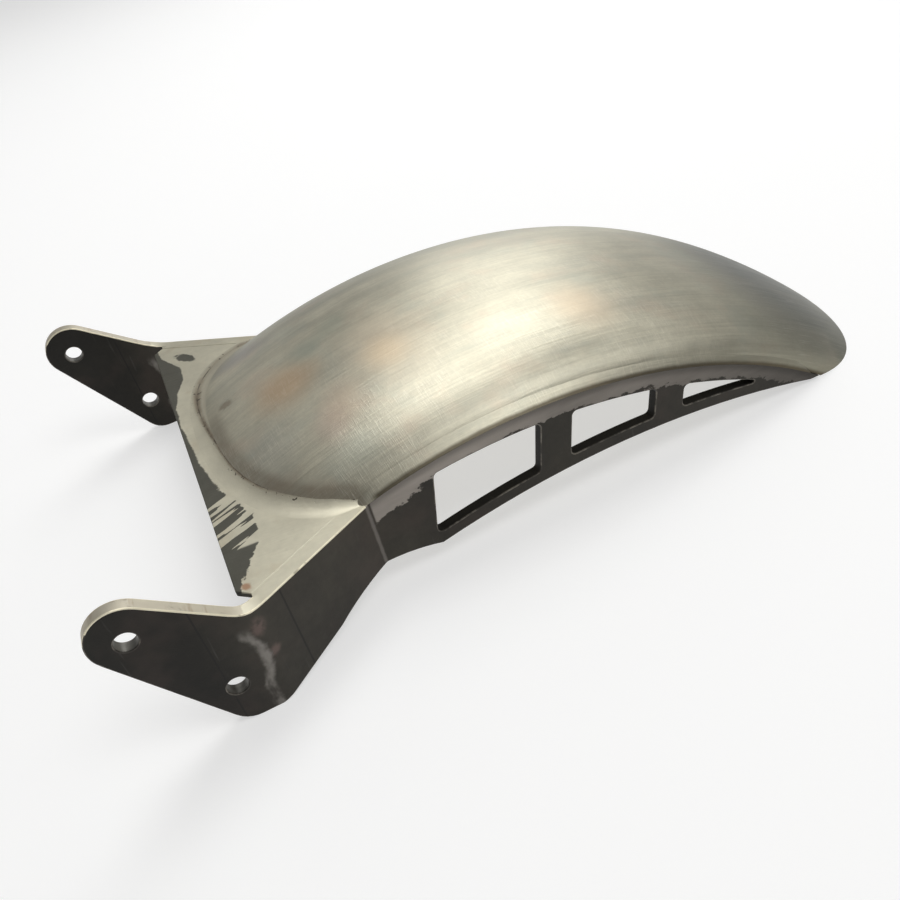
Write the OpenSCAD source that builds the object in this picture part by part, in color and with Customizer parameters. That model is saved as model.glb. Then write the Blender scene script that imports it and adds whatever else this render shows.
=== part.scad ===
/* [Struts] */
// Width across the outer faces of the two ears
ear_spread = 273; // [262:0.5:284]
// Width across the outer faces of the two rails
rail_spread = 194.8; // [188:0.2:202]
// Thickness of the bent strut plate
strut_t = 6.35; // [5:0.05:7.6]
// Distance along the fender from the ear bend to the rail bend
panel_run = 66; // [62:0.5:72]
// Distance of the ear bend behind the front edge of the flat plate
ear_bend_x = 1.3; // [0:0.1:3]
// Inside radius of the bend at the ear
ear_bend_r = 8; // [4:0.5:12]
// Inside radius of the bend at the rail
rail_bend_r = 3; // [2:0.5:6]
// Height of the slanted panel's lower edge at the rail bend
panel_low_h = 14; // [11:0.5:18]

/* [Ears] */
// Diameter of the four bolt holes
bolt_hole_d = 9.6; // [8:0.1:11]
// Distance between the two bolt holes of an ear
bolt_spacing = 56; // [52:0.5:60]
// Angle of the line of bolt holes above the level, in degrees
bolt_line_tilt = 60; // [56:0.5:64]
// Distance of the lower bolt hole in front of the plate's front edge
low_bolt_x = 15.4; // [14:0.1:17]
// Height of the lower bolt hole
low_bolt_h = 22.5; // [20:0.5:25]
// Distance from the bolt holes to the ear's lower edge
ear_edge = 14; // [12:0.1:15]
// Radius of the ear's rounded nose
ear_nose_r = 15.2; // [14:0.1:16.4]
// Distance of the nose centre beyond the upper bolt hole
ear_nose_lift = 1.9; // [0:0.1:4]
// Radius of the ear's lower corner
foot_r = 12; // [8:0.5:14]
// Distance of the foot's rear end in front of the plate's front edge
foot_end_x = 2; // [0:0.1:4]
// Radius of the hollow where the ear's top edge meets the panel
ear_top_r = 25; // [15:0.5:35]

/* [Flat plate] */
// Thickness of the flat plate
plate_t = 3; // [2.5:0.1:3.6]
// Height of the plate's front edge
deck_h = 56.3; // [54:0.1:59]
// Fall of the plate toward the tail, in degrees
deck_fall = 4.2; // [3.4:0.1:5]
// Length of the cut-off front corners of the plate along the fender
corner_cut_x = 6; // [4:0.1:8]
// Width of the cut-off front corners of the plate
corner_cut_y = 5; // [3:0.1:7]

/* [Dome] */
// Thickness of the domed sheet
shell_t = 2.5; // [2:0.1:3]
// Radius of the crown along the wheel
crown_r = 338.4; // [333:0.2:343]
// Height of the crown above the rails' highest point
crown_rise = 23.2; // [21.8:0.1:25]
// Distance of the crown's highest point behind the plate's front edge
crown_x = 150; // [147:0.5:153]
// Depth of the dome's cross-section from crown to side
crown_depth = 28.8; // [27:0.1:31]
// Fullness of the dome's shoulders
crown_power = 2.25; // [2.1:0.05:2.5]
// Width of the ledge left outside the dome on each rail
rail_ledge = 1.6; // [1:0.1:2.4]

/* [Rails] */
// Radius of the rails' top edge
rail_arc_r = 292.8; // [289:0.2:297]
// Distance of the top edge's highest point behind the plate's front edge
rail_arc_x = 145.9; // [144:0.1:148]
// Radius of the arched lower edge
arch_r = 465; // [450:1:490]
// Distance of the arch's highest point behind the plate's front edge
arch_x = 191.6; // [188:0.2:195]
// Height of the arch's highest point
arch_h = 19.5; // [18.5:0.1:21]
// Distance of the lower edge's kink behind the plate's front edge
kink_x = 96.5; // [92:0.5:100]
// Radius of the scallop between the rail bend and the kink
scallop_r = 90; // [70:1:120]

/* [Windows] */
// Height of the strip above the windows, at their highest point
top_strip = 8.5; // [7.6:0.1:9.4]
// Radius of the windows' top edges
window_arc_r = 322; // [310:1:340]
// Distance of the windows' highest point behind the plate's front edge
window_arc_x = 137; // [133:0.5:141]
// Width of the strip below the windows
low_strip = 6.6; // [6:0.1:7.4]
// Distance of the first window behind the plate's front edge
window_x = 96; // [93:0.5:99]
// Length of the first window
window_1_w = 57; // [54:0.5:60]
// Width of the bar behind the first window
bar_1_w = 17.6; // [15:0.2:20]
// Length of the second window
window_2_w = 48.4; // [45:0.2:51]
// Width of the bar behind the second window
bar_2_w = 17.2; // [15:0.2:19]
// Lean of the window sides toward the tail, in degrees
window_lean = 10; // [6:0.5:14]
// Height at which the window lengths are measured
window_level = 20; // [19:0.5:21]
// Radius of the window corners
window_r = 2.6; // [1.5:0.1:3.2]
// Radius of the last window's pointed end
window_tip_r = 1; // [0.6:0.1:1.2]

/* [Welds] */
// Width of the weld between the plate and the slanted panels
plate_weld_w = 2; // [1.5:0.1:2.6]
// Width of the weld bead around the nose of the dome
nose_weld_w = 1.3; // [0.8:0.1:2]
// Height of the weld bead around the nose of the dome
nose_weld_h = 1; // [0.4:0.1:1.4]
// Height of the weld bead between a rail and the dome
rail_weld_h = 2.8; // [2:0.1:3.6]

/* [Hidden] */
arc_facets = 180;
round_facets = 64;
profile_step = 5;
window_steps = 6;
corner_steps = 5;
bend_steps = 10;
cut_margin = 30;
sweep_margin = 4;
skirt = 12;
rail_lap = 4;
weld_inset = 0.6;
weld_start = 3;
weld_stop = 2;
ear_y = ear_spread / 2;
rail_y = rail_spread / 2;
shell_y = rail_y - rail_ledge;
reach = ear_spread + 2 * cut_margin;
bore_l = strut_t + 2 * cut_margin;
rail_bend_x = ear_bend_x + panel_run;
panel_slope = (ear_y - rail_y) / panel_run;
panel_angle = atan(panel_slope);

rail_top = [rail_bend_x, deck_h - rail_bend_x * tan(deck_fall)];
rail_arc_z = rail_top[1] - sqrt(pow(rail_arc_r, 2) - pow(rail_arc_x - rail_bend_x, 2));
rail_foot = [rail_bend_x, panel_low_h];
rail_lap_foot = rail_foot - rail_lap * unit(rail_foot + [foot_end_x, 0]);
arch_z = arch_h - arch_r;
kink = [kink_x, arch_z + sqrt(pow(arch_r, 2) - pow(arch_x - kink_x, 2))];
window_top = rail_arc_z + sqrt(pow(rail_arc_r, 2) - pow(window_arc_x - rail_arc_x, 2)) - top_strip;
top_arc = [window_arc_x, window_top - window_arc_r, window_arc_r];
low_arc = [arch_x, arch_z, arch_r + low_strip];

crown_z = rail_arc_z + rail_arc_r + crown_rise - crown_r;
tail_x = crown_x + sqrt(pow(crown_r, 2) - pow(crown_z, 2));
tall = crown_z + crown_r + cut_margin;
dome_back = acos(-crown_z / crown_r) + sweep_margin;
dome_front = asin((crown_x + cut_margin) / crown_r);
weld_back = acos(-rail_arc_z / rail_arc_r) - weld_stop;
weld_front = asin((rail_arc_x - rail_bend_x - weld_start) / rail_arc_r);

bolt_dir = [-cos(bolt_line_tilt), sin(bolt_line_tilt)];
bolt_side = [sin(bolt_line_tilt), cos(bolt_line_tilt)];
low_bolt = [-low_bolt_x, low_bolt_h];
high_bolt = low_bolt + bolt_spacing * bolt_dir;
nose = high_bolt + ear_nose_lift * bolt_dir + (ear_nose_r - ear_edge) * bolt_side;
nose_low = nose - ear_nose_r * bolt_side;
ear_root = [ear_bend_x, deck_h - ear_bend_x * tan(deck_fall)];
root_gap = norm(nose - ear_root);
root_turn = asin(ear_nose_r / root_gap);
root_angle = atan2(nose[1] - ear_root[1], nose[0] - ear_root[0]) - root_turn;
nose_high = ear_root + root_gap * cos(root_turn) * [cos(root_angle), sin(root_angle)];
foot_x = nose_low[0] + nose_low[1] / tan(bolt_line_tilt);
centre_x = (tail_x + nose[0] - ear_nose_r) / 2;

lean_dir = [sin(window_lean), cos(window_lean)];
window_1_end = window_x + window_1_w;
window_2_x = window_1_end + bar_1_w;
window_2_end = window_2_x + window_2_w;
window_3_x = window_2_end + bar_2_w;

function unit(v) = v / norm(v);

function turn(a, b) = (b - a + 540) % 360 - 180;

// Points of a circular corner of radius r at v, between the neighbours a and b.
function corner(a, v, b, r, steps = corner_steps) =
  let (
    u = unit(a - v),
    w = unit(b - v),
    half = acos(u * w) / 2,
    c = v + unit(u + w) * r / sin(half),
    p = v + u * r / tan(half) - c,
    q = v + w * r / tan(half) - c,
    start = atan2(p[1], p[0]),
    sweep = turn(start, atan2(q[1], q[0]))
  )
  [for (i = [0 : steps]) c + r * [cos(start + sweep * i / steps), sin(start + sweep * i / steps)]];

// Point where a leaning window side through x meets an arc [centre x, centre z, radius].
function on_arc(x, arc) =
  let (
    p = [x - arc[0], window_level - arc[1]],
    b = p * lean_dir
  )
  [x, window_level] + (sqrt(b * b - p * p + arc[2] * arc[2]) - b) * lean_dir;

// Point where the strips above and below the windows meet near the tail.
function arc_meet(a, b) =
  let (
    gap = [b[0] - a[0], b[1] - a[1]],
    d = norm(gap),
    along = (a[2] * a[2] - b[2] * b[2] + d * d) / (2 * d),
    aside = sqrt(a[2] * a[2] - along * along)
  )
  [a[0], a[1]] + along * gap / d + aside * [gap[1], -gap[0]] / d;

// Points between p and q on an arc, without the ends.
function arc_run(p, q, arc) =
  [for (i = [1 : window_steps - 1])
    let (x = p[0] + (q[0] - p[0]) * i / window_steps)
    [x, arc[1] + sqrt(arc[2] * arc[2] - pow(x - arc[0], 2))]];

// Outline of the dome's section, grown by g, down to the skirt.
function section(g) = concat(
  [[crown_r - crown_depth - skirt, shell_y + g]],
  [for (a = [90 : -profile_step : -90])
    [crown_r - crown_depth + (crown_depth + g) * pow(cos(a), 2 / crown_power),
     (shell_y + g) * sign(a) * pow(abs(sin(a)), 2 / crown_power)]],
  [[crown_r - crown_depth - skirt, -shell_y - g]]
);

module placed() {
  translate([-centre_x, 0, 0]) children();
}

// Solid under the dome's surface, swept about the wheel axle.
module dome_body(g) {
  translate([crown_x, 0, crown_z])
    rotate([90, 0, 0])
      rotate([0, 0, 90 - dome_back])
        rotate_extrude(angle = dome_back + dome_front, $fn = arc_facets)
          polygon(section(g));
}

// Layer between two heights above the flat plate's top, from far in front to the rail bend.
module deck_layer(low, high) {
  translate([0, -reach / 2, deck_h])
    rotate([0, deck_fall, 0])
      translate([-reach, 0, low])
        cube([reach + rail_bend_x / cos(deck_fall), reach, high - low]);
}

module rail_arc_body() {
  translate([rail_arc_x, 0, rail_arc_z])
    rotate([90, 0, 0])
      cylinder(r = rail_arc_r, h = reach, center = true, $fn = arc_facets);
}

module floor_cut() {
  translate([-reach, -reach / 2, -tall]) cube([reach + tail_x + cut_margin, reach, tall]);
}

// Plan of the left strut: ear, bend, slanted panel, bend and rail.
module strut_plan() {
  front = nose[0] - cut_margin;
  shift = strut_t * tan(panel_angle / 2);
  outer = [[front, -ear_y], [ear_bend_x, -ear_y], [rail_bend_x, -rail_y], [tail_x, -rail_y]];
  inner = [
    [front, strut_t - ear_y], [ear_bend_x - shift, strut_t - ear_y],
    [rail_bend_x - shift, strut_t - rail_y], [tail_x, strut_t - rail_y]
  ];
  polygon(concat(
    [outer[0]],
    corner(outer[0], outer[1], outer[2], ear_bend_r + strut_t, bend_steps),
    corner(outer[1], outer[2], outer[3], rail_bend_r, bend_steps),
    [outer[3], inner[3]],
    corner(inner[3], inner[2], inner[1], rail_bend_r + strut_t, bend_steps),
    corner(inner[2], inner[1], inner[0], ear_bend_r, bend_steps),
    [inner[0]]
  ));
}

function window_outline(x0, x1) =
  let (
    bl = on_arc(x0, low_arc),
    br = on_arc(x1, low_arc),
    tr = on_arc(x1, top_arc),
    tl = on_arc(x0, top_arc),
    low = arc_run(bl, br, low_arc),
    high = arc_run(tr, tl, top_arc)
  )
  concat(
    corner(tl, bl, low[0], window_r), low,
    corner(low[len(low) - 1], br, tr, window_r),
    corner(br, tr, high[0], window_r), high,
    corner(high[len(high) - 1], tl, bl, window_r)
  );

function last_window_outline(x0) =
  let (
    bl = on_arc(x0, low_arc),
    tl = on_arc(x0, top_arc),
    tip = arc_meet(low_arc, top_arc),
    low = arc_run(bl, tip, low_arc),
    high = arc_run(tip, tl, top_arc)
  )
  concat(
    corner(tl, bl, low[0], window_r), [for (p = low) if (p != low[len(low) - 1]) p],
    corner(low[len(low) - 1], tip, high[0], window_tip_r), [for (p = high) if (p != high[0]) p],
    corner(high[len(high) - 1], tl, bl, window_r)
  );

// Side view of the strut, as x and height.
module strut_side() {
  chord = kink - rail_foot;
  rise = sqrt(pow(scallop_r, 2) - pow(norm(chord) / 2, 2));
  scallop = rail_foot + chord / 2 + rise * unit([chord[1], -chord[0]]);
  difference() {
    union() {
      translate(nose) circle(r = ear_nose_r, $fn = round_facets);
      polygon(concat(
        [nose_high, nose_low],
        corner(nose_low, [foot_x, 0], [-foot_end_x, 0], foot_r),
        [[-foot_end_x, 0], rail_foot, rail_top],
        corner(rail_top, ear_root, nose_high, ear_top_r)
      ));
      intersection() {
        polygon([
          rail_lap_foot, rail_foot, kink,
          [tail_x, 0], [tail_x, tall], [rail_lap_foot[0], tall]
        ]);
        translate([rail_arc_x, rail_arc_z]) circle(r = rail_arc_r, $fn = arc_facets);
      }
    }
    translate([arch_x, arch_z]) circle(r = arch_r, $fn = arc_facets);
    translate(scallop) circle(r = scallop_r, $fn = arc_facets);
    polygon(window_outline(window_x, window_1_end));
    polygon(window_outline(window_2_x, window_2_end));
    polygon(last_window_outline(window_3_x));
  }
}

module bolt_bore(p) {
  translate([p[0], -ear_y + strut_t / 2, p[1]])
    rotate([90, 0, 0])
      cylinder(d = bolt_hole_d, h = bore_l, center = true, $fn = round_facets);
}

module strut() {
  difference() {
    intersection() {
      linear_extrude(tall) strut_plan();
      rotate([90, 0, 0]) linear_extrude(reach / 2) strut_side();
    }
    bolt_bore(low_bolt);
    bolt_bore(high_bolt);
  }
}

// Half plan of the flat plate, pulled in by g from the strut's inner faces.
function half_plan(g) =
  let (
    front_y = ear_y + ear_bend_x * panel_slope - (strut_t + g) / cos(panel_angle),
    back_y = rail_y - strut_t - g,
    cut_y = front_y - corner_cut_x * panel_slope
  )
  [
    [0, corner_cut_y - cut_y], [corner_cut_x, -cut_y],
    [(front_y - back_y) / panel_slope, -back_y], [rail_bend_x, -back_y]
  ];

module plate_plan() {
  half = half_plan(plate_weld_w);
  polygon(concat(half, [for (i = [len(half) - 1 : -1 : 0]) [half[i][0], -half[i][1]]]));
}

module front_plate() {
  color([0.72, 0.70, 0.63])
    placed()
      difference() {
        intersection() {
          linear_extrude(tall) plate_plan();
          deck_layer(-plate_t, 0);
        }
        dome_body(-shell_t);
      }
}

// Plan of the gap between the plate and the left panel.
module weld_plan() {
  wall = half_plan(0);
  edge = half_plan(plate_weld_w);
  polygon([wall[1], wall[2], wall[3], edge[3], edge[2], edge[1]]);
}

module plate_weld() {
  difference() {
    intersection() {
      linear_extrude(tall) weld_plan();
      deck_layer(-plate_t, 0);
    }
    dome_body(-shell_t);
  }
}

module left_plate_weld() {
  color([0.78, 0.76, 0.70]) placed() plate_weld();
}

module right_plate_weld() {
  color([0.78, 0.76, 0.70]) placed() mirror([0, 1, 0]) plate_weld();
}

module fender_shell() {
  color([0.60, 0.57, 0.50])
    placed()
      difference() {
        dome_body(0);
        dome_body(-shell_t);
        rail_arc_body();
        deck_layer(-tall, 0);
        floor_cut();
      }
}

module left_strut() {
  color([0.20, 0.19, 0.19]) placed() strut();
}

module right_strut() {
  color([0.20, 0.19, 0.19]) placed() mirror([0, 1, 0]) strut();
}

module nose_weld() {
  edge_y = rail_y - weld_inset;
  color([0.66, 0.63, 0.56])
    placed()
      difference() {
        intersection() {
          dome_body(nose_weld_w);
          deck_layer(0, nose_weld_h);
          translate([0, -edge_y, 0]) cube([rail_bend_x, 2 * edge_y, tall]);
        }
        dome_body(0);
      }
}

module rail_weld() {
  difference() {
    translate([rail_arc_x, 0, rail_arc_z])
      rotate([90, 0, 0])
        rotate([0, 0, 90 - weld_back])
          rotate_extrude(angle = weld_back + weld_front, $fn = arc_facets)
            polygon([
              [rail_arc_r, rail_y], [rail_arc_r, rail_y - strut_t / 2],
              [rail_arc_r + rail_weld_h, rail_y - strut_t / 2], [rail_arc_r + rail_weld_h, shell_y]
            ]);
    dome_body(0);
    floor_cut();
  }
}

module left_rail_weld() {
  color([0.70, 0.67, 0.60]) placed() rail_weld();
}

module right_rail_weld() {
  color([0.70, 0.67, 0.60]) placed() mirror([0, 1, 0]) rail_weld();
}

fender_shell();
front_plate();
left_strut();
right_strut();
nose_weld();
left_plate_weld();
right_plate_weld();
left_rail_weld();
right_rail_weld();
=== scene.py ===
import bpy
import math
from mathutils import Matrix, Vector


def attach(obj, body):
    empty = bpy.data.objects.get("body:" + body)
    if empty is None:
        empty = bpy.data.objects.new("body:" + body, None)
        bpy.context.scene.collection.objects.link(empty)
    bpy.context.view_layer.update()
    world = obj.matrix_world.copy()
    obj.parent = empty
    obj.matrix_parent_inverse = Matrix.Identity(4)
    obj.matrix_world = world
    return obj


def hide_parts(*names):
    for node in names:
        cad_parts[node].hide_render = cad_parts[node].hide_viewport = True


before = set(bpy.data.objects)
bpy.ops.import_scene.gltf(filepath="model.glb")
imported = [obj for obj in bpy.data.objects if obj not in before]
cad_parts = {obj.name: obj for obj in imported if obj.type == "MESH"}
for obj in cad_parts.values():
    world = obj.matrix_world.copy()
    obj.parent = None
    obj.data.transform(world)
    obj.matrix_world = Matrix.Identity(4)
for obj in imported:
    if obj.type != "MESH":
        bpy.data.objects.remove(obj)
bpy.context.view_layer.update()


# The domed fender blank: one sheet of steel, rolled along the wheel and stretched over its width.
# It is cut to the bent struts and to the flat plate, and its outside is flap-ground to bare steel
# that still shows heat tints, fine lines along the length and short cross strokes.
DOME_AXLE = Vector((-0.00806, 0, -0.253095))
CROWN_R = 0.3384
CROWN_DEPTH = 0.0288
SKIRT_DEPTH = 0.012
DOME_HALF_W = 0.0958
DOME_FULLNESS = 2.25
DOME_FROM = math.radians(-32.0)
DOME_TO = math.radians(45.5)
SECTION_POINTS = 200
ROLLING_STEPS = 170
SHEET_T = 0.0025
RAIL_BEND_X = -0.09076
RAIL_ARC = Vector((-0.01216, 0, -0.230695))
RAIL_ARC_R = 0.2928
RAIL_ARC_SIDES = 720
CUTTER_W = 0.4
DECK_FALL = math.radians(4.2)
DECK_FRONT = Vector((-0.15806, 0, 0.0563))

BARE_STEEL = (0.530, 0.503, 0.398)
STRAW_CLOUD = (0.60, 0.45, 0.34)
GREEN_CLOUD = (0.42, 0.46, 0.40)
OLIVE_SMEAR = (0.34, 0.345, 0.29)
BROWN_STAIN = (0.20, 0.15, 0.10)
# Painted shade colours for the tail, its tip, the far side and the far half of the crown.
TAIL_SHADE_GREY = (0.30, 0.295, 0.235)
TAIL_SHADE = (0.10, 0.104, 0.087)
FAR_SIDE_SHADE = (0.24, 0.245, 0.20)
FAR_CROWN_SHADE = (0.33, 0.315, 0.255)
# Painted shade along the dome's rim over the rails.
RIM_SHADE = (0.17, 0.16, 0.115)
# Painted brown shade just above the nose bead's crease.
TOE_SHADE_BROWN = (0.24, 0.20, 0.15)
FRESH_STROKE = (0.86, 0.83, 0.71)
# Painted shade in a dark line at the rail beads' foot.
FOOT_SHADE = (0.085, 0.068, 0.042)

# Each heat tint: its centre, its half axes, its turn about Z, its share and its colour.
HEAT_TINTS = (
    ((-0.0985, -0.006, 0.073), (0.030, 0.028, 0.03), 0, 0.55, (0.56, 0.36, 0.20)),
    ((-0.080, 0.012, 0.077), (0.020, 0.016, 0.03), 0, 0.40, (0.36, 0.41, 0.34)),
    ((-0.088, -0.055, 0.072), (0.014, 0.020, 0.02), 0, 0.30, (0.60, 0.43, 0.36)),
    ((-0.113, 0.062, 0.062), (0.032, 0.016, 0.03), 0.5, 0.40, (0.34, 0.30, 0.33)),
    ((-0.120, -0.045, 0.062), (0.022, 0.030, 0.03), 0, 0.25, (0.36, 0.38, 0.36)),
    ((-0.045, -0.020, 0.081), (0.034, 0.052, 0.03), 0, 0.40, (0.86, 0.72, 0.54)),
    ((0.054, -0.052, 0.076), (0.026, 0.030, 0.03), 0, 0.42, (0.66, 0.50, 0.34)),
    ((-0.047, -0.028, 0.082), (0.018, 0.022, 0.03), 0, 0.45, (0.88, 0.70, 0.47)),
    ((-0.078, -0.045, 0.076), (0.018, 0.024, 0.03), 0, 0.35, (0.62, 0.45, 0.33)),
    ((-0.060, 0.020, 0.081), (0.016, 0.020, 0.03), 0, 0.35, (0.42, 0.47, 0.38)),
    ((-0.084, -0.076, 0.066), (0.022, 0.016, 0.03), 0, 0.30, (0.36, 0.40, 0.35)),
)


class Wire:
    """A socket of a finish's nodes, with sums, so that masks read as plain arithmetic."""

    def __init__(self, tree, socket=None):
        self.tree, self.socket = tree, socket

    def make(self, kind, settings=None, sockets=None, out=0):
        """Any node: its type, its settings, what goes into its sockets, and the output that is used."""
        node = self.tree.nodes.new(kind)
        for name, value in (settings or {}).items():
            if name == "stops":
                stops = node.color_ramp.elements
                while len(stops) < len(value):
                    stops.new(0.5)
                for stop, (place, colour) in zip(stops, value):
                    stop.position, stop.color = place, (*colour, 1)
            else:
                setattr(node, name, value)
        for key, value in (sockets or {}).items():
            if isinstance(value, Wire):
                self.tree.links.new(value.socket, node.inputs[key])
            else:
                node.inputs[key].default_value = value
        return Wire(self.tree, node.outputs[out] if len(node.outputs) else None)

    def maths(self, operation, *values):
        return self.make("ShaderNodeMath", {"operation": operation}, dict(enumerate(values)))

    def __add__(self, other):
        return self.maths("ADD", self, other)

    __radd__ = __add__

    def __sub__(self, other):
        return self.maths("SUBTRACT", self, other)

    def __rsub__(self, other):
        return self.maths("SUBTRACT", other, self)

    def __mul__(self, other):
        return self.maths("MULTIPLY", self, other)

    __rmul__ = __mul__

    def __truediv__(self, other):
        return self.maths("DIVIDE", self, other)

    def __pow__(self, other):
        return self.maths("POWER", self, other)

    def larger(self, other):
        return self.maths("MAXIMUM", self, other)

    def size(self):
        return self.maths("ABSOLUTE", self)

    def blend(self, low, high, start, end):
        """Goes smoothly from start to end while this value goes from low to high."""
        return self.make("ShaderNodeMapRange", {"interpolation_type": "SMOOTHSTEP"},
                         {0: self, 1: low, 2: high, 3: start, 4: end})

    def rise(self, low, high):
        return self.blend(low, high, 0.0, 1.0)

    def fall(self, low, high):
        return self.blend(low, high, 1.0, 0.0)

    def part(self, i):
        """The x, y or z of a place, by its number."""
        return self.make("ShaderNodeSeparateXYZ", None, {0: self}, i)

    def solid(self, colour):
        return self.make("ShaderNodeCombineColor", None, dict(enumerate(colour)))

    def tint(self, share, colour):
        """This colour, turned to another one by a share."""
        value = colour if isinstance(colour, Wire) else (*colour, 1)
        return self.make("ShaderNodeMix", {"data_type": "RGBA"}, {0: share, 6: self, 7: value}, 2)

    def shade(self, amount):
        """This colour, made lighter or darker by a value."""
        return self.make("ShaderNodeMix", {"data_type": "RGBA", "blend_type": "MULTIPLY"},
                         {0: 1.0, 6: self, 7: self.solid((amount,) * 3)}, 2)

    def grain(self, scale, detail=2.0, rough=0.5, stretch=(1, 1, 1), shift=(0, 0, 0)):
        """Noise at so many cells per metre, stretched and shifted."""
        place = self.make("ShaderNodeMapping", None, {0: self, 1: shift, 3: stretch})
        return self.make("ShaderNodeTexNoise", None,
                         {"Vector": place, "Scale": scale, "Detail": detail, "Roughness": rough})

    def patches(self, scale, shift, low, high):
        """Cloudy patches, shifted so that no two kinds of them fall together."""
        return self.grain(scale, 3, 0.6, (1, 1, 1), shift).rise(low, high)

    def spot(self, centre, size, turn=0):
        """Distance from a centre, which is one where an ellipsoid with these half axes ends."""
        place = self.make("ShaderNodeVectorMath", {"operation": "SUBTRACT"}, {0: self, 1: centre})
        place = self.make("ShaderNodeVectorRotate", {"rotation_type": "EULER_XYZ"},
                          {0: place, 4: (0, 0, turn)})
        place = self.make("ShaderNodeVectorMath", {"operation": "DIVIDE"}, {0: place, 1: size})
        return self.make("ShaderNodeVectorMath", {"operation": "LENGTH"}, {0: place}, 1)


def start_finish(name):
    """A new material, a wire that makes nodes in it, and the place on the piece."""
    material = bpy.data.materials.new(name)
    material.use_nodes = True
    material.node_tree.nodes.clear()
    wire = Wire(material.node_tree)
    return material, wire, wire.make("ShaderNodeTexCoord", out=3)


def end_finish(wire, sockets, bump=None, depth=0.0):
    """Closes a material with its surface, and with a relief of this depth in metres if it has one."""
    if bump is not None:
        sockets["Normal"] = wire.make("ShaderNodeBump", None,
                                      {"Strength": 1.0, "Distance": depth, "Height": bump})
    shader = wire.make("ShaderNodeBsdfPrincipled", None, sockets)
    wire.make("ShaderNodeOutputMaterial", None, {0: shader})


def pick(piece):
    """Selects one piece, so that an operator acts on nothing else."""
    bpy.ops.object.select_all(action="DESELECT")
    piece.select_set(True)
    bpy.context.view_layer.objects.active = piece


def edit(piece, selection=None):
    """Opens a piece's mesh, with all of it selected, none of it, or what was selected before."""
    pick(piece)
    bpy.ops.object.mode_set(mode="EDIT")
    if selection:
        bpy.ops.mesh.select_all(action=selection)


def leave():
    bpy.ops.object.mode_set(mode="OBJECT")


def settle(piece):
    """Puts the piece's place and turn into its mesh."""
    pick(piece)
    bpy.ops.object.transform_apply(location=True, rotation=True, scale=True)


def modify(piece, kind, **settings):
    """Adds a modifier of this kind and applies it."""
    modifier = piece.modifiers.new(kind.lower(), kind)
    for name, value in settings.items():
        setattr(modifier, name, value)
    pick(piece)
    bpy.ops.object.modifier_apply(modifier=modifier.name)


def trim(piece, cutter):
    """Cuts a piece by another one, which is then thrown away."""
    modify(piece, "BOOLEAN", operation="DIFFERENCE", solver="EXACT", object=cutter)
    bpy.data.objects.remove(cutter)


def block(location, scale):
    bpy.ops.object.select_all(action="DESELECT")
    bpy.ops.mesh.primitive_cube_add(size=1, location=location, scale=scale)
    settle(bpy.context.object)
    return bpy.context.object


def coat(piece, *finishes):
    """Gives a piece these finishes and no others."""
    piece.data.materials.clear()
    for finish in finishes:
        piece.data.materials.append(finish)


def section_point(a):
    """Point of the dome's section at angle a from the crown, as a radius from the axle and y."""
    c, s = math.cos(a), math.sin(a)
    drop = CROWN_DEPTH if c > 0 else SKIRT_DEPTH
    across = abs(s) ** (2 / DOME_FULLNESS) if c > 0 else 1
    return (CROWN_R - CROWN_DEPTH + math.copysign(drop * abs(c) ** (2 / DOME_FULLNESS), c),
            DOME_HALF_W * math.copysign(across, s))


def on_dome(a, turned):
    """Point of the dome's outside, at section angle a and an angle round the axle."""
    radius, y = section_point(a)
    return DOME_AXLE + Vector((radius * math.sin(turned), y, radius * math.cos(turned)))


def deck_z(x):
    """Height of the flat plate's top."""
    return DECK_FRONT.z - (x - DECK_FRONT.x) * math.tan(DECK_FALL)


def over_deck(x, z):
    """Distance of a place above the flat plate's top."""
    return (x - DECK_FRONT.x) * math.sin(DECK_FALL) + (z - DECK_FRONT.z) * math.cos(DECK_FALL)


def over_rail(x, z):
    """Distance of a place outside the arc of the rails' top edge."""
    return ((x - RAIL_ARC.x) ** 2.0 + (z - RAIL_ARC.z) ** 2.0) ** 0.5 - RAIL_ARC_R


# The section, a closed ring that is opened at its bottom, and its sweep round the wheel's axle
bpy.ops.object.select_all(action="DESELECT")
bpy.ops.mesh.primitive_circle_add(vertices=SECTION_POINTS, radius=1, fill_type="NOTHING")
dome = bpy.context.object
dome.name = "domed_sheet"
for i, corner in enumerate(dome.data.vertices):
    corner.co = on_dome(2 * math.pi * (i + 0.5) / SECTION_POINTS, DOME_FROM)
edit(dome, "DESELECT")
leave()
for corner in dome.data.vertices[SECTION_POINTS // 2 - 1:SECTION_POINTS // 2 + 1]:
    corner.select = True
edit(dome)
bpy.ops.mesh.delete(type="EDGE")
bpy.ops.mesh.select_all(action="SELECT")
bpy.ops.mesh.spin(steps=ROLLING_STEPS, angle=DOME_TO - DOME_FROM, center=DOME_AXLE, axis=(0, -1, 0))
bpy.ops.mesh.select_all(action="SELECT")
bpy.ops.mesh.remove_doubles(threshold=1e-6)
bpy.ops.mesh.normals_make_consistent(inside=False)
leave()
crown = max(dome.data.polygons, key=lambda face: face.center.z)
if crown.normal.z < 0:
    edit(dome, "SELECT")
    bpy.ops.mesh.flip_normals()
    leave()
modify(dome, "SOLIDIFY", thickness=SHEET_T, offset=-1, use_even_offset=True)

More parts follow.
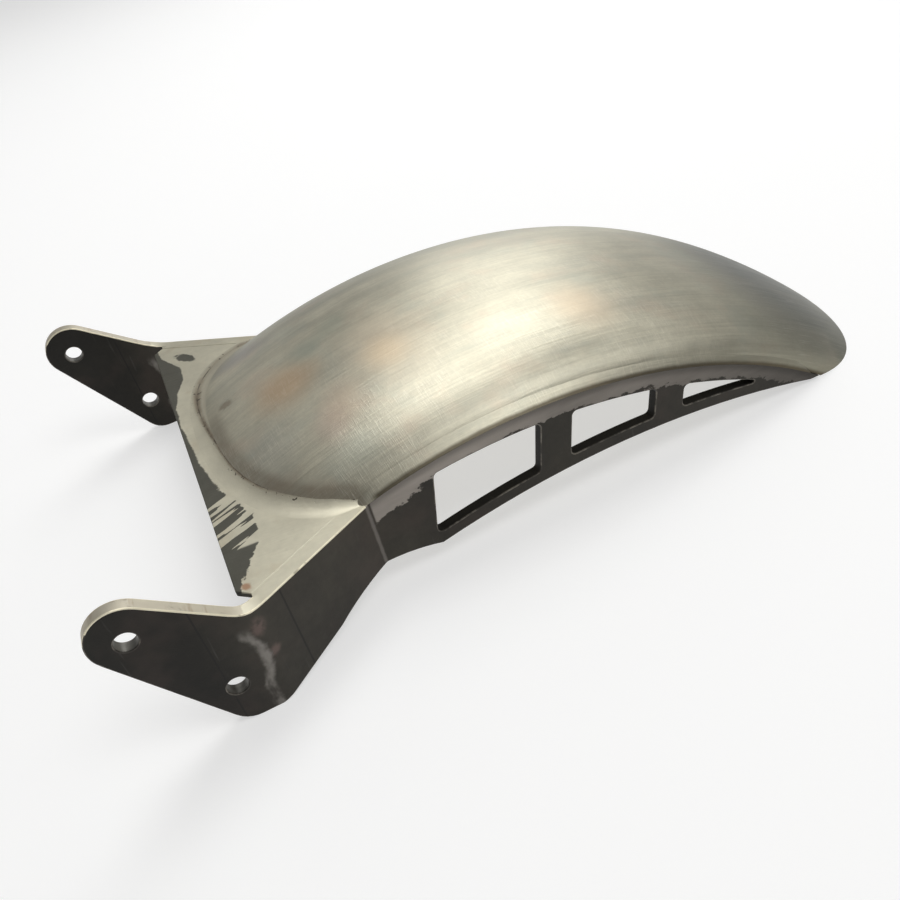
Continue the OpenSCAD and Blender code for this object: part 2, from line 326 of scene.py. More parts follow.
# The cuts along the rails' top edges, along the flat plate and level with the floor
bpy.ops.object.select_all(action="DESELECT")
bpy.ops.mesh.primitive_cylinder_add(vertices=RAIL_ARC_SIDES, radius=RAIL_ARC_R, depth=CUTTER_W,
                                    location=RAIL_ARC, rotation=(math.pi / 2, 0, 0))
rail_cutter = bpy.context.object
settle(rail_cutter)
trim(dome, rail_cutter)
deck_cutter = block((RAIL_BEND_X - 0.15, 0, -0.2), (0.3, CUTTER_W, 0.6))
for corner in deck_cutter.data.vertices:
    if corner.co.z > 0:
        corner.co.z = deck_z(corner.co.x)
trim(dome, deck_cutter)
trim(dome, block((0, 0, -0.25), (0.8, CUTTER_W, 0.5)))
edit(dome, "SELECT")
bpy.ops.mesh.remove_doubles(threshold=1e-5)
leave()
bpy.ops.object.shade_smooth_by_angle(angle=math.radians(30))

brushed, w, place = start_finish("brushed_sheet")
x, y, z = (place.part(i) for i in range(3))
fore, up = x - DOME_AXLE.x, z - DOME_AXLE.z
turn = w.maths("ARCTAN2", fore, up)
radius = (fore * fore + up * up) ** 0.5
rolled = w.make("ShaderNodeCombineXYZ", None, {0: turn * CROWN_R, 1: y, 2: radius})
lines = rolled.grain(850, 4, 0.65, (0.028, 1, 1))
broad = rolled.grain(240, 3, 0.55, (0.07, 1, 1), (3, 1, 2))
cloud = rolled.grain(20, 4, 0.55, (0.7, 1, 1))
smear = rolled.grain(60, 3, 0.6, (0.16, 1, 1), (7, 0, 4))
patchy = place.grain(75, 4, 0.62, (0.8, 1, 1), (6, 2, 3))
worked = rolled.grain(26).rise(0.36, 0.62) * y.fall(-0.02, 0.03) * x.fall(0.09, 0.14)
strokes = rolled.grain(1900, 2, 0.5, (1, 0.07, 0.09), (1, 5, 0)).rise(0.46, 0.72) * worked
scratch = rolled.grain(1500, 2, 0.5, (0.05, 1, 1), (4, 1, 0)).rise(0.56, 0.68)
scratch = scratch * rolled.grain(40).rise(0.42, 0.60)

# The ground sheet, with its clouds, lines and heat tints
colour = w.solid(BARE_STEEL)
colour = colour.shade(0.84 + 0.32 * cloud)
colour = colour.shade(0.80 + 0.40 * patchy)
colour = colour.shade(0.78 + 0.44 * lines)
colour = colour.shade(0.87 + 0.26 * place.grain(520, 3, 0.7))
colour = colour.shade(0.90 + 0.20 * broad)
colour = colour.tint(place.patches(34, (9, 1, 5), 0.52, 0.70) * 0.22, STRAW_CLOUD)
colour = colour.tint(place.patches(30, (1, 8, 2), 0.52, 0.70) * 0.25, GREEN_CLOUD)
colour = colour.tint(smear.rise(0.48, 0.72) * 0.36, OLIVE_SMEAR)
for centre, half_axes, turned, share, tint in HEAT_TINTS:
    colour = colour.tint(place.spot(centre, half_axes, turned).fall(0.1, 1.0) * share, tint)
stain = place.spot((-0.1307, 0.0182, 0.062), (0.007, 0.0045, 0.02), 0.4) + 0.9 * (place.grain(260, 3) - 0.5)
colour = colour.tint(stain.fall(0.35, 1.0) * 0.55, BROWN_STAIN)

# Painted shade: the tail, the far side and the far half of the crown made darker, darkest along the tail's
# far edge and at its tip
colour = colour.tint(x.rise(0.07, 0.16) * 0.30, TAIL_SHADE_GREY)
tail_shade_mask = place.spot((0.188, -0.020, 0.020), (0.070, 0.120, 0.060)).fall(0.25, 1.15)
tip_shade_mask = place.spot((0.196, -0.075, 0.004), (0.034, 0.050, 0.03)).fall(0.3, 1.1)
colour = colour.tint((tail_shade_mask * (0.72 + 0.4 * broad)).larger(tip_shade_mask * 0.75), TAIL_SHADE)
colour = colour.tint(y.rise(0.045, 0.085) * (0.35 + 0.5 * smear), FAR_SIDE_SHADE)
colour = colour.tint(y.rise(-0.005, 0.05) * x.rise(-0.06, 0.0) * x.fall(0.07, 0.13) * 0.24, FAR_CROWN_SHADE)

# Painted shade along the rim over the rails, on the toe over the nose bead and in a dark line at the rail
# beads' foot
above = over_rail(x, z)
on_rail = x.rise(RAIL_BEND_X + 0.001, RAIL_BEND_X + 0.007)
rim_shade_mask = above.fall(0.0010, 0.0050 + 0.06 * (x - 0.02).larger(0.0)) * on_rail
colour = colour.tint(rim_shade_mask * (0.10 * patchy + 0.50 * x.rise(0.03, 0.15)), RIM_SHADE)
# Painted shade: brown just above the nose bead's crease, uneven in patches.
over_crease = over_deck(x, z) - 0.0019 - 0.24 * y * y
toe = y.fall(0.0, 0.03) * over_crease.fall(0.0022, 0.0052)
toe = toe * x.fall(RAIL_BEND_X - 0.002, RAIL_BEND_X + 0.004)
colour = colour.tint(toe * (0.20 + 0.7 * patchy), TOE_SHADE_BROWN)
colour = colour.tint(0.15 * strokes + 0.08 * scratch, FRESH_STROKE)
# Painted shade: a dark line along the rail beads' foot.
foot_top = 0.0022 + 0.006 * x.larger(0.0)
foot_shade_line = (above + 0.0006 * rolled.grain(150, 3)).fall(0.0009, foot_top) * on_rail
colour = colour.tint(foot_shade_line * 0.85, FOOT_SHADE)
end_finish(w, {"Base Color": colour, "Metallic": 1.0,
               "Roughness": 0.36 + 0.08 * lines + 0.08 * patchy - 0.05 * strokes},
           lines * 0.35 + broad * 0.25 + strokes * 0.08 + scratch * 0.06, 0.0003)
coat(dome, brushed)
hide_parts("fender_shell")
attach(dome, "root")


# The flat plate between the struts: thin steel, cut round the dome's nose, welded along both
# panels, and ground pale on top but for remnants of scale at its front edge.
PANEL_FROM_X = -0.15676
PANEL_SLOPE = 0.5924
PLATE_HALF_W = 0.1291
PLATE_EDGE_R = 0.0004
WELDED_FROM_X = -0.1515

PALE_STEEL = (0.57, 0.54, 0.425)
PLATE_STRAW = (0.47, 0.40, 0.28)
PLATE_SCALE = (0.038, 0.038, 0.029)
PLATE_EDGE = (0.030, 0.028, 0.022)
CORNER_RUST = (0.32, 0.13, 0.05)

# How far back from the front edge the scale was left on, at places across the plate.
SCALE_HALF_W = 0.128
SCALE_DEEPEST = 0.025
SCALE_REACH = (
    (-0.128, 0.0025), (-0.118, 0.0030), (-0.108, 0.0085), (-0.098, 0.0130), (-0.087, 0.0200),
    (-0.076, 0.0190), (-0.058, 0.0145), (-0.045, 0.0088), (-0.034, 0.0066), (-0.015, 0.0036),
    (0.006, 0.0026), (0.024, 0.0012), (0.044, 0.0018), (0.062, 0.0055), (0.075, 0.0112),
    (0.092, 0.0118), (0.104, 0.006), (0.110, 0.0034), (0.128, 0.002),
)


def whole_copy(node, name):
    """A merged copy of a CAD piece, with its flat faces whole again."""
    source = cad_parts[node]
    piece = bpy.data.objects.new(name, source.data.copy())
    bpy.context.scene.collection.objects.link(piece)
    edit(piece, "SELECT")
    bpy.ops.mesh.remove_doubles(threshold=2e-6)
    bpy.ops.mesh.dissolve_limited(angle_limit=math.radians(0.3))
    leave()
    return piece


def soften(piece, width, finish, kept):
    """Rounds the sharp edges of a piece but for those that a rule keeps.

    The rounded edges get the finish with this number, or with -1 that of the faces beside them.
    """
    edit(piece, "DESELECT")
    bpy.ops.mesh.select_mode(type="EDGE")
    bpy.ops.mesh.edges_select_sharp(sharpness=math.radians(35))
    leave()
    for line in piece.data.edges:
        a, b = (piece.data.vertices[i].co for i in line.vertices)
        line.select = line.select and not kept((a + b) / 2)
    edit(piece)
    bpy.ops.mesh.bevel(offset=width, segments=2, affect="EDGES", clamp_overlap=False, material=finish)
    leave()
    bpy.ops.object.shade_smooth_by_angle(angle=math.radians(30))
    modify(piece, "WEIGHTED_NORMAL", keep_sharp=True)


pale, w, place = start_finish("pale_ground_plate")
x, y, z = (place.part(i) for i in range(3))
cloud = place.grain(40, 4, 0.6)
fine = place.grain(900, 3, 0.6, (0.08, 1, 1))
ragged = place.grain(170, 4, 0.65) - 0.5
colour = w.solid(PALE_STEEL)
colour = colour.shade(0.80 + 0.40 * cloud)
colour = colour.shade(0.90 + 0.20 * place.grain(260, 3, 0.6))
colour = colour.tint(place.patches(55, (3, 7, 1), 0.52, 0.70) * 0.35, PLATE_STRAW)

# The scale that the grinder left at the front edge, with its slanting strokes on the near side
stops = [((at + SCALE_HALF_W) / (2 * SCALE_HALF_W), (deep / SCALE_DEEPEST,) * 3) for at, deep in SCALE_REACH]
reach = w.make("ShaderNodeValToRGB", {"stops": stops}, {0: (y + SCALE_HALF_W) / (2 * SCALE_HALF_W)})
reach = reach * SCALE_DEEPEST
slanted = place.make("ShaderNodeVectorRotate", {"rotation_type": "Z_AXIS"}, {0: place, 3: math.radians(-27)})
hatch = slanted.grain(260, 2, 0.5, (0.05, 1, 1), (0, 1, 0)).rise(0.50, 0.54) * y.fall(-0.050, -0.040)
hatch = (hatch * y.rise(-0.100, -0.086)).rise(0.42, 0.58)
uneven = 0.003 + 0.008 * y.fall(-0.06, -0.03)
left_on = (x - DECK_FRONT.x - reach + uneven * ragged).fall(-0.0005, 0.0005) * (1 - hatch)
left_on = left_on * (PLATE_HALF_W - PANEL_SLOPE * (x - PANEL_FROM_X) - y.size()).rise(-0.0003, 0.0003)
far_patch = place.spot((-0.1414, 0.1016, 0.055), (0.0085, 0.0038, 0.02), 0.9) + ragged * 1.2
left_on = left_on.larger(far_patch.fall(0.8, 1.1))
colour = colour.tint(left_on * 0.92, w.solid(PLATE_SCALE).shade(0.6 + 0.8 * place.grain(120, 3)))
colour = colour.tint(over_deck(x, z).fall(-0.0007, -0.0003) * 0.95, PLATE_EDGE)
rust = place.spot((-0.1530, -0.1185, 0.056), (0.003, 0.003, 0.02)) + ragged
colour = colour.tint(rust.fall(0.4, 1.0) * 0.7, CORNER_RUST)
end_finish(w, {"Base Color": colour, "Metallic": 0.75 - 0.55 * left_on, "Specular IOR Level": 0.3,
               "Roughness": 0.40 + 0.12 * cloud + 0.1 * left_on},
           fine * 0.6 + left_on * 0.4, 0.00015)

plate = whole_copy("front_plate", "flat_plate")
coat(plate, pale)
soften(plate, PLATE_EDGE_R, -1, lambda c: c.x > WELDED_FROM_X)
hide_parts("front_plate")
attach(plate, "root")


# The two struts: quarter-inch steel plate, cut to outline with three windows, bent twice, and
# left in its mill scale but for the ground band along the weld and the cut edges.
EAR_Y = 0.1365
EAR_BEND_X = -0.1590
EAR_TIP_X = -0.1900
MARKS_X = (-0.1766, -0.1410)
BOLTS = ((-0.17346, 0.0225), (-0.20146, 0.070997))
BOLT_R = 0.0048
STRUT_EDGE_R = 0.0006
BAND_DEPTH = 0.0112
RUB_MIDDLE_Z = 0.031
RUB_HALF_H = 0.015
RUB_BULGE = 0.004

MILL_SCALE = (0.032, 0.0285, 0.0215)
RED_SCALE = (0.080, 0.054, 0.044)
PALE_LINE = (0.10, 0.095, 0.09)
RED_SMUDGE = (0.115, 0.082, 0.070)
SCRIBED_MARK = (0.010, 0.009, 0.008)
RUBBED_BEND = (0.21, 0.195, 0.175)
CREASE_GREY = (0.22, 0.20, 0.18)
GROUND_BAND = (0.30, 0.273, 0.243)

scale, w, place = start_finish("strut_scale")
x, y, z = (place.part(i) for i in range(3))
cloud = place.grain(30, 4, 0.6)
fine = place.grain(1100, 3, 0.65)
ragged = place.grain(150, 4, 0.7, (0.8, 1, 1.6), (2, 0, 1)) - 0.5
colour = w.solid(MILL_SCALE)
colour = colour.shade(0.30 + 1.3 * cloud)
colour = colour.shade(0.70 + 0.6 * place.grain(210, 4, 0.65, (1, 1, 1), (3, 1, 1)))
# Painted shade: the ear and the rails made darker than the panel, as the light falls on them.
colour = colour.shade(0.42 + 0.80 * x.rise(-0.185, -0.150) - 0.30 * x.rise(-0.09, -0.06))
colour = colour.tint(0.22 * place.patches(26, (4, 2, 0), 0.50, 0.72), RED_SCALE)
upright = place.grain(420, 2, 0.6, (1, 1, 0.07), (0, 3, 5))
colour = colour.tint(0.25 * upright.rise(0.66, 0.80), PALE_LINE)
smudge = place.spot((-0.1550, -0.1345, 0.0475), (0.0045, 0.02, 0.0065)).fall(0.3, 1.1)
smudge = smudge.larger(place.spot((-0.1530, -0.1330, 0.0305), (0.0035, 0.02, 0.0035)).fall(0.3, 1.1))
colour = colour.tint(smudge * (0.2 + 0.8 * place.grain(190, 3, 0.6).rise(0.40, 0.62)), RED_SMUDGE)
for mark in MARKS_X:
    colour = colour.tint((x - mark).size().fall(0.0002, 0.0006) * 0.75, SCRIBED_MARK)

# The two bends: the ear's is rubbed bare, and the rail's shows as a fine line
off_middle = (z - RUB_MIDDLE_Z) / RUB_HALF_H
bulge = RUB_BULGE * (1 - off_middle * off_middle).larger(0.0)
from_bend = (x - EAR_BEND_X + 0.0024 - bulge).size() + 0.004 * ragged
rubbed = from_bend.fall(0.0006, 0.0034) * z.fall(0.044, 0.052)
rubbed = rubbed * place.grain(110, 3, 0.6, (1, 1, 0.5), (3, 3, 8)).rise(0.34, 0.62)
colour = colour.tint(rubbed, RUBBED_BEND)
crease = (x - RAIL_BEND_X + 0.0005).size() + 0.0008 * ragged
colour = colour.tint(crease.fall(0.0002, 0.0014) * 0.55, CREASE_GREY)

# The band that was ground bare along the weld, with a ragged lower border; painted shade darkens it just
# under the dome's edge and towards the tail
below_top = 0.0 - over_rail(x, z)
border = BAND_DEPTH - 0.0028 * x.rise(-0.072, -0.058) - 0.0012 * x.rise(0.06, 0.12)
border = border + 0.02 * x.rise(0.148, 0.156)
ground = (below_top + 0.012 * ragged - border).fall(-0.0004, 0.0004)
ground = ground * x.rise(RAIL_BEND_X + 0.001, RAIL_BEND_X + 0.002)
band = w.solid(GROUND_BAND).shade(0.72 + 0.5 * place.grain(160, 3, 0.6, (0.2, 1, 1)))
# Painted shade: darker just under the dome's edge and towards the tail.
band = band.shade(0.62 + 0.38 * below_top.rise(0.0004, 0.005))
band = band.shade(1.0 - 0.30 * x.rise(-0.05, 0.03) - 0.38 * x.rise(0.03, 0.17))
colour = colour.tint(ground, band)
end_finish(w, {"Base Color": colour, "Metallic": 0.05 + 0.75 * ground,
               "Specular IOR Level": 0.24, "Roughness": 0.46 + 0.16 * cloud - 0.06 * rubbed},
           fine * 0.6 - ground * 0.5, 0.00012)

WORN_STEEL = (0.17, 0.155, 0.13)
WORN_SCALE = (0.045, 0.040, 0.034)
worn, w, place = start_finish("strut_worn_edge")
cloud = place.grain(150, 3, 0.6)
colour = w.solid(WORN_STEEL).tint(cloud.fall(0.40, 0.62), WORN_SCALE)
end_finish(w, {"Base Color": colour, "Metallic": 0.5, "Roughness": 0.42 + 0.2 * cloud})

EDGE_STEEL = (0.50, 0.46, 0.365)
EDGE_RUST = (0.27, 0.19, 0.12)
EDGE_SCALE = (0.12, 0.10, 0.085)
cut, w, place = start_finish("strut_ground_edge")
cloud = place.grain(70, 4, 0.6)
streak = place.grain(260, 3, 0.6, (1, 0.15, 1), (2, 2, 2))
colour = w.solid(EDGE_STEEL).shade(0.75 + 0.5 * cloud)
colour = colour.tint(streak.rise(0.52, 0.72) * 0.55, EDGE_RUST)
colour = colour.tint(place.patches(110, (5, 5, 5), 0.60, 0.72) * 0.5, EDGE_SCALE)
end_finish(w, {"Base Color": colour, "Metallic": 0.65, "Roughness": 0.42 + 0.15 * cloud}, streak, 0.00015)

# The rounded top edges: ground steel, made lighter than the plate as a painted highlight.
EDGE_HIGHLIGHT_STEEL = (0.80, 0.74, 0.56)
BRIGHT_SPECK = (0.20, 0.17, 0.12)
top_edge_highlight, w, place = start_finish("painted_highlight_top_edge")
cloud = place.grain(120, 3, 0.6)
colour = w.solid(EDGE_HIGHLIGHT_STEEL).shade(0.75 + 0.5 * cloud)
colour = colour.tint(place.patches(160, (7, 5, 5), 0.60, 0.72) * 0.6, BRIGHT_SPECK)
end_finish(w, {"Base Color": colour, "Metallic": 0.55, "Roughness": 0.36 + 0.15 * cloud})

DRILLED_STEEL = (0.15, 0.145, 0.13)
drilled, w, place = start_finish("drilled_wall")
rings = place.grain(500, 2, 0.6, (0.1, 1, 0.1))
colour = w.solid(DRILLED_STEEL).shade(0.55 + 0.8 * rings)
end_finish(w, {"Base Color": colour, "Metallic": 0.8, "Roughness": 0.38 + 0.15 * rings}, rings, 0.0002)

# The window walls and the cut faces that face down: dark cut steel, made darker still as painted shade.
CUT_DARK_AND_SHADE = (0.013, 0.012, 0.0105)
cut_dark_and_shade, w, place = start_finish("strut_cut_wall")
cloud = place.grain(200, 3, 0.6, (1, 0.2, 1))
colour = w.solid(CUT_DARK_AND_SHADE).shade(0.6 + 0.9 * cloud)
end_finish(w, {"Base Color": colour, "Metallic": 0.1, "Specular IOR Level": 0.25,
               "Roughness": 0.55 + 0.15 * cloud}, cloud, 0.0002)

STRUT_FINISHES = (scale, worn, cut, cut_dark_and_shade, drilled, pale, top_edge_highlight)


def from_bolt(c):
    """Distance of a point of an ear from the axis of its nearer bolt hole."""
    return min(math.hypot(c.x - x, c.z - z) for x, z in BOLTS)


def strut_finish(n, c):
    """The finish of a strut's face, by its normal and its centre."""
    if from_bolt(c) < BOLT_R + 0.0004 and abs(n.y) < 0.5:
        return drilled
    if n.z > 0.9 and EAR_BEND_X < c.x < RAIL_BEND_X:
        return pale
    if abs(n.z) > 0.3 or (abs(n.x) > 0.93 and c.x < EAR_BEND_X):
        seen_from_above = n.z > 0.2 and c.x < RAIL_BEND_X
        return cut if seen_from_above or c.x < EAR_TIP_X else cut_dark_and_shade
    if c.x > RAIL_BEND_X + 0.002 and abs(n.x) > 0.9:
        return cut_dark_and_shade
    return scale


def under_weld(c):
    """Whether a strut's edge lies in a weld, along the flat plate or under the dome."""
    panel_y = EAR_Y - (c.x - PANEL_FROM_X) * PANEL_SLOPE
    on_panel = WELDED_FROM_X - 0.001 < c.x < RAIL_BEND_X + 0.001
    beside_plate = on_panel and c.z > deck_z(c.x) - 0.001 and abs(c.y) < panel_y - 0.004
    under_dome = c.x > RAIL_BEND_X - 0.001 and over_rail(c.x, c.z) > -0.0012
    return beside_plate or under_dome


for side in ("left", "right"):
    strut = whole_copy(f"{side}_strut", f"{side}_bent_strut")
    coat(strut, *STRUT_FINISHES)
    for face in strut.data.polygons:
        face.material_index = STRUT_FINISHES.index(strut_finish(face.normal, face.center))
    soften(strut, STRUT_EDGE_R, STRUT_FINISHES.index(worn), under_weld)
    for face in strut.data.polygons:
        rounded = face.material_index == STRUT_FINISHES.index(worn)
        on_top = face.center.x < RAIL_BEND_X and face.normal.z > 0.25
        if rounded and on_top and from_bolt(face.center) > BOLT_R + 2 * STRUT_EDGE_R:
            face.material_index = STRUT_FINISHES.index(top_edge_highlight)
    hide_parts(f"{side}_strut")
    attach(strut, "root")


# The beads along the plate's two sides are weld steel that fills the gap to the slanted panels.
# They are ground flush, so that they carry the plate's own finish on.
for side in ("left", "right"):
    seam = whole_copy(f"{side}_plate_weld", f"{side}_plate_bead")
    coat(seam, pale)
    bpy.ops.object.shade_flat()
    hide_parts(f"{side}_plate_weld")
    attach(seam, "root")


# The bead round the nose is weld steel that joins the dome to the plate. It is dressed to a smooth
# hollow that runs out on both, with a pitted crease where the grinder stopped at its upper toe,
# darkened by painted brown shade and a painted dark line.
BEAD_HALF_ANGLE = math.radians(82.0)
BEAD_END = math.radians(83.5)
BEAD_TAPER = math.radians(13)
BEAD_END_SHARE = 0.30
BEAD_DEPTH = 0.0004
BEAD_STEPS = 240
HOLLOW_STEPS = 10
TOE_SINK = 0.00004

# How far the bead runs out on the plate and up the dome, at section angles in degrees.
BEAD_LEGS = ((-82, 0.0060, 0.0084), (-52, 0.0060, 0.0084), (-12, 0.0052, 0.0060), (8, 0.0056, 0.0052),
             (38, 0.0090, 0.0028), (82, 0.0090, 0.0028))

BEAD_STRAW = (0.40, 0.365, 0.28)
CREASE_SHADE_BROWN = (0.135, 0.10, 0.062)
CREASE_SHADE_DARK = (0.045, 0.034, 0.024)
PIT_DARK = (0.035, 0.026, 0.020)

deck_up = Vector((math.sin(DECK_FALL), 0, math.cos(DECK_FALL)))


def bead_legs(a):
    """The bead's two legs at section angle a, between those of the table."""
    for (start, low_a, high_a), (end, low_b, high_b) in zip(BEAD_LEGS, BEAD_LEGS[1:]):
        if start <= math.degrees(a) <= end + 0.001:
            share = (math.degrees(a) - start) / (end - start)
            return low_a + (low_b - low_a) * share, high_a + (high_b - high_a) * share


def bead_row(a):
    """Points across the bead at section angle a: under it, up the hollow from plate to dome, under it."""
    radius = section_point(a)[0]
    turned = DECK_FALL - math.acos((DECK_FRONT - DOME_AXLE).dot(deck_up) / radius)
    root, nudge = on_dome(a, turned), 1e-4
    by_a = (on_dome(a + nudge, turned) - root) / nudge
    by_turn = (on_dome(a, turned + nudge) - root) / nudge
    out = by_turn.cross(by_a).normalized()
    if out.dot(root - DOME_AXLE) < 0:
        out = -out
    run = out.cross(deck_up).normalized()
    climb = run.cross(out)
    climb = climb if climb.dot(deck_up) > 0 else -climb
    away = deck_up.cross(run)
    away = away if away.dot(out) > 0 else -away
    taper = min(1.0, max(BEAD_END_SHARE, (BEAD_END - abs(a)) / BEAD_TAPER))
    leg_low, leg_high = bead_legs(a)

    # The climb up the dome, as a step of both its angles, so that the toe stays on the sheet
    a_a, turn_turn, a_turn = by_a.dot(by_a), by_turn.dot(by_turn), by_a.dot(by_turn)
    climb_a, climb_turn = climb.dot(by_a) * leg_high * taper, climb.dot(by_turn) * leg_high * taper
    spread = a_a * turn_turn - a_turn * a_turn
    a_step = (climb_a * turn_turn - climb_turn * a_turn) / spread
    turn_step = (climb_turn * a_a - climb_a * a_turn) / spread
    high = on_dome(a + a_step, turned + turn_step)
    low = root + away * leg_low * taper
    deep = root - BEAD_DEPTH * (out + deck_up)
    shares = [i / HOLLOW_STEPS for i in range(HOLLOW_STEPS + 1)]
    hollow = [(1 - t) ** 2 * low + 2 * t * (1 - t) * root + t * t * high for t in shares]
    hollow[0] = hollow[0] - TOE_SINK * deck_up
    hollow[-1] = hollow[-1] - TOE_SINK * out
    return [deep, *hollow, deep]


def lay_bead(name, rows):
    """A bead with these rows of points across it, closed along its back and at both ends."""
    along, across = len(rows) - 1, len(rows[0]) - 1
    bpy.ops.object.select_all(action="DESELECT")
    bpy.ops.mesh.primitive_grid_add(x_subdivisions=along, y_subdivisions=across, size=1)
    piece = bpy.context.object
    piece.name = name
    for corner in piece.data.vertices:
        corner.co = rows[round((corner.co.x + 0.5) * along)][round((corner.co.y + 0.5) * across)]
    edit(piece, "SELECT")
    bpy.ops.mesh.remove_doubles(threshold=1e-6)
    bpy.ops.mesh.select_all(action="SELECT")
    bpy.ops.mesh.fill_holes(sides=0)
    bpy.ops.mesh.select_all(action="SELECT")
    bpy.ops.mesh.normals_make_consistent(inside=False)
    leave()
    return piece


nose_rows = [bead_row(BEAD_HALF_ANGLE * (2 * i / BEAD_STEPS - 1)) for i in range(BEAD_STEPS + 1)]
nose = lay_bead("nose_bead", nose_rows)
bpy.ops.object.shade_smooth_by_angle(angle=math.radians(60))

bead, w, place = start_finish("dressed_bead")
across = w.make("ShaderNodeTexCoord", out=2).part(1)
y = place.part(1)
cloud = place.grain(60, 4, 0.6)
ragged = place.grain(300, 3, 0.65) - 0.5
past = across - 0.87 + 0.54 * y.rise(-0.02, 0.065)
colour = w.solid(PALE_STEEL).shade(0.82 + 0.36 * cloud)
colour = colour.tint(past.rise(-0.30, -0.05) * 0.45, BEAD_STRAW)
# Painted shade: brown along the crease and a dark line in it; the pits beside it are dark.
crease_shade = (past + 0.06 * ragged).size().fall(0.02, 0.15 + 0.10 * y.rise(0.0, 0.05))
crease_shade = crease_shade * (0.35 + 0.65 * place.grain(45, 3).rise(0.35, 0.6))
colour = colour.tint(crease_shade * 0.85, CREASE_SHADE_BROWN)
line = (past + 0.03 * ragged).size().fall(0.010, 0.035) * place.patches(70, (8, 8, 8), 0.40, 0.58)
colour = colour.tint(line * 0.85, CREASE_SHADE_DARK)
pits = place.grain(420, 2, 0.5, (1, 1, 1), (2, 2, 6)).rise(0.65, 0.68) * past.size().fall(0.12, 0.26)
colour = colour.tint(pits * 0.9, PIT_DARK)
end_finish(w, {"Base Color": colour, "Metallic": 0.8 - 0.4 * crease_shade,
               "Roughness": 0.40 + 0.12 * cloud + 0.15 * crease_shade},
           place.grain(500, 3, 0.6) * 0.3 - pits - crease_shade * 0.4, 0.00025)
coat(nose, bead)
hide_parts("nose_weld")
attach(nose, "root")


# The beads between the dome and the two rails are weld steel on the ledge that each rail leaves
# outside the sheet. They are ground into the dome and carry its brushing on, down to a dark line
# of painted shade at their foot.
RAIL_FOOT_Y = 0.0973
RAIL_BEAD_RISE = 0.0050
RAIL_BEAD_FROM = math.radians(-16.8)
RAIL_BEAD_TO = math.radians(36.0)
RAIL_RUN_IN = math.radians(4)
RAIL_RUN_OUT = math.radians(3)
RAIL_BEAD_STEPS = 220
RAIL_FACE_STEPS = 5
RAIL_FACE_BULGE = 0.0002
RAIL_TOE_SINK = 0.00018
RAIL_BEAD_THICK = 0.0025


def over_arc(side, turned, lift):
    """Point of the dome's side at an angle round the rail's arc and a lift above it."""
    reach = RAIL_ARC_R + lift
    point = RAIL_ARC + reach * Vector((math.sin(turned), 0, math.cos(turned)))
    share = max(0.0, ((point - DOME_AXLE).length - CROWN_R + CROWN_DEPTH) / CROWN_DEPTH)
    return point + Vector((0, side * DOME_HALF_W * (1 - share ** DOME_FULLNESS) ** (1 / DOME_FULLNESS), 0))


def rail_bead_row(side, turned):
    """Points across a rail bead: inside, foot on the rail, nearly flat face, toe on the dome, inside."""
    rise = RAIL_BEAD_RISE * min(1.0, 0.2 + (RAIL_BEAD_TO - turned) / RAIL_RUN_OUT,
                                0.3 + (turned - RAIL_BEAD_FROM) / RAIL_RUN_IN)
    toe = over_arc(side, turned, rise)
    foot = over_arc(side, turned, 0)
    foot.y = side * RAIL_FOOT_Y
    toe.y -= side * RAIL_TOE_SINK
    face = []
    for i in range(RAIL_FACE_STEPS + 1):
        share = i / RAIL_FACE_STEPS
        bulge = RAIL_FACE_BULGE * math.sin(math.pi * share)
        face.append(foot.lerp(toe, share) + Vector((0, side * bulge, 0)))
    inside = (foot + toe) / 2 - Vector((0, side * RAIL_BEAD_THICK, 0))
    return [inside, *face, inside]


for side, name in ((-1, "left"), (1, "right")):
    turns = [RAIL_BEAD_FROM + (RAIL_BEAD_TO - RAIL_BEAD_FROM) * i / RAIL_BEAD_STEPS
             for i in range(RAIL_BEAD_STEPS + 1)]
    seam = lay_bead(f"{name}_rail_bead", [rail_bead_row(side, turned) for turned in turns])
    bpy.ops.object.shade_smooth_by_angle(angle=math.radians(50))
    coat(seam, brushed)
    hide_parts(f"{name}_rail_weld")
    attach(seam, "root")


# The stage: white paper under the part, seven soft boxes round it, a pale surround that darkens
# upwards, and the camera where the photographer stood.
PAPER_WHITE = (0.52, 0.52, 0.515)
BOX_AIM = Vector((0, 0, 0.03))
BOX_DISTANCE = 2.2
BOX_ACROSS = 0.9

# Each soft box: its angle from +Y towards +X and its angle above the floor in degrees, and its watts.
SOFT_BOXES = (
    ("window_high", 36, 47, 9.4),
    ("window_low", 26, 21, 4.4),
    ("top_box", 10, 72, 10.8),
    ("front_box", 150, 62, 10.4),
    ("right_box", 110, 45, 2.5),
    ("right_low", 72, 38, 1.5),
    ("left_box", -25, 35, 1.5),
)

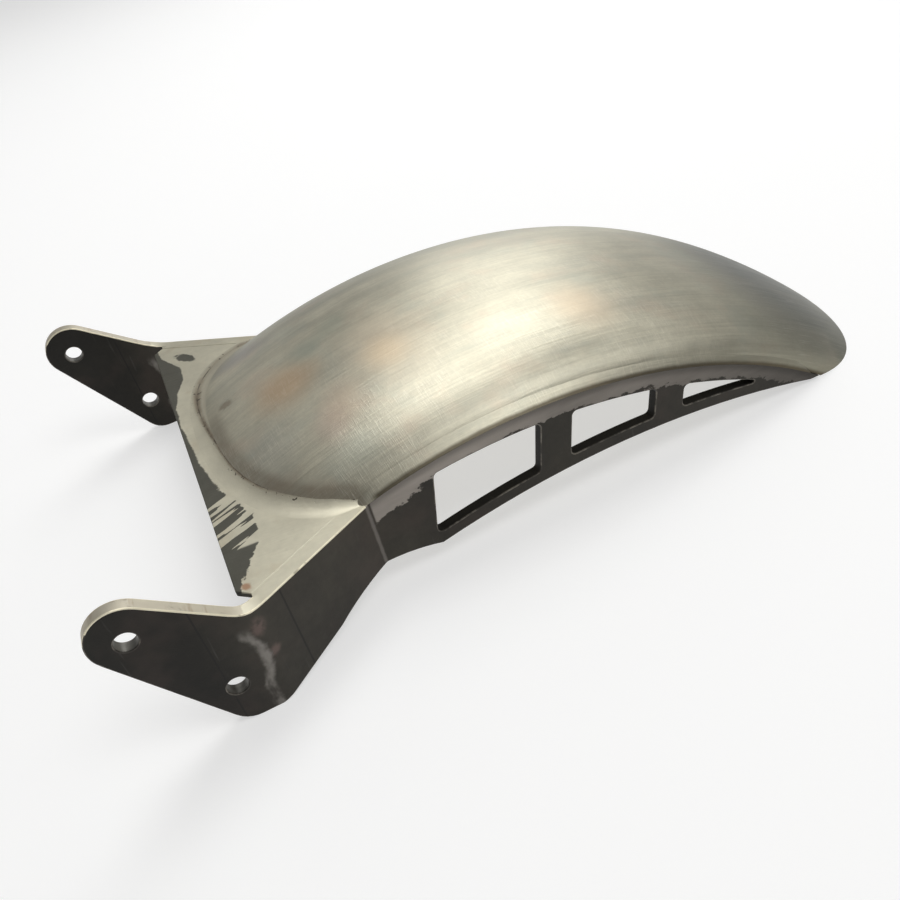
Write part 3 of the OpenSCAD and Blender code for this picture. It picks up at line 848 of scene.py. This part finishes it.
EYE = Vector((-0.127006, -0.420260, 0.315346))
EYE_RIGHT = Vector((0.893311, -0.394443, -0.215431))
EYE_DOWN = Vector((-0.405531, -0.500763, -0.764709))
EYE_AHEAD = Vector((0.193754, 0.770487, -0.607296))
LENS = 36.3205
SENSOR_WIDTH = 36

bpy.ops.object.select_all(action="DESELECT")
bpy.ops.mesh.primitive_plane_add(size=60, location=(0, 0, 0))
floor = bpy.context.object
floor.name = "studio_floor"
paper, w, place = start_finish("studio_paper")
colour = w.solid(PAPER_WHITE).shade(0.99 + 0.02 * place.grain(3))
end_finish(w, {"Base Color": colour, "Roughness": 0.9, "Specular IOR Level": 0.2,
               "Emission Color": (1, 1, 1, 1), "Emission Strength": 0.54})
coat(floor, paper)

world = bpy.data.worlds.new("studio")
bpy.context.scene.world = world
world.use_nodes = True
around = world.node_tree.nodes["Background"]
around.inputs["Color"].default_value = (1, 1, 1, 1)
w = Wire(world.node_tree)
height = w.make("ShaderNodeTexCoord").part(2)
strength = 0.17 + 0.48 * height.fall(0.06, 0.28)
world.node_tree.links.new(strength.socket, around.inputs["Strength"])

for name, azimuth, climb, power in SOFT_BOXES:
    a, h = math.radians(azimuth), math.radians(climb)
    spot = BOX_DISTANCE * Vector((math.sin(a) * math.cos(h), math.cos(a) * math.cos(h), math.sin(h)))
    lamp = bpy.data.lights.new(name, "AREA")
    lamp.shape = "SQUARE"
    lamp.size = BOX_ACROSS
    lamp.energy = power
    holder = bpy.data.objects.new(name, lamp)
    bpy.context.scene.collection.objects.link(holder)
    holder.location = spot
    holder.rotation_euler = (BOX_AIM - spot).to_track_quat("-Z", "Y").to_euler()

camera = bpy.data.cameras.new("photo_view")
camera.lens = LENS
camera.sensor_width = SENSOR_WIDTH
viewer = bpy.data.objects.new("photo_view", camera)
bpy.context.scene.collection.objects.link(viewer)
facing = Matrix((EYE_RIGHT, -EYE_DOWN, -EYE_AHEAD)).transposed().to_4x4()
viewer.matrix_world = Matrix.Translation(EYE) @ facing
bpy.context.scene.camera = viewer
bpy.context.scene.view_settings.view_transform = "Standard"
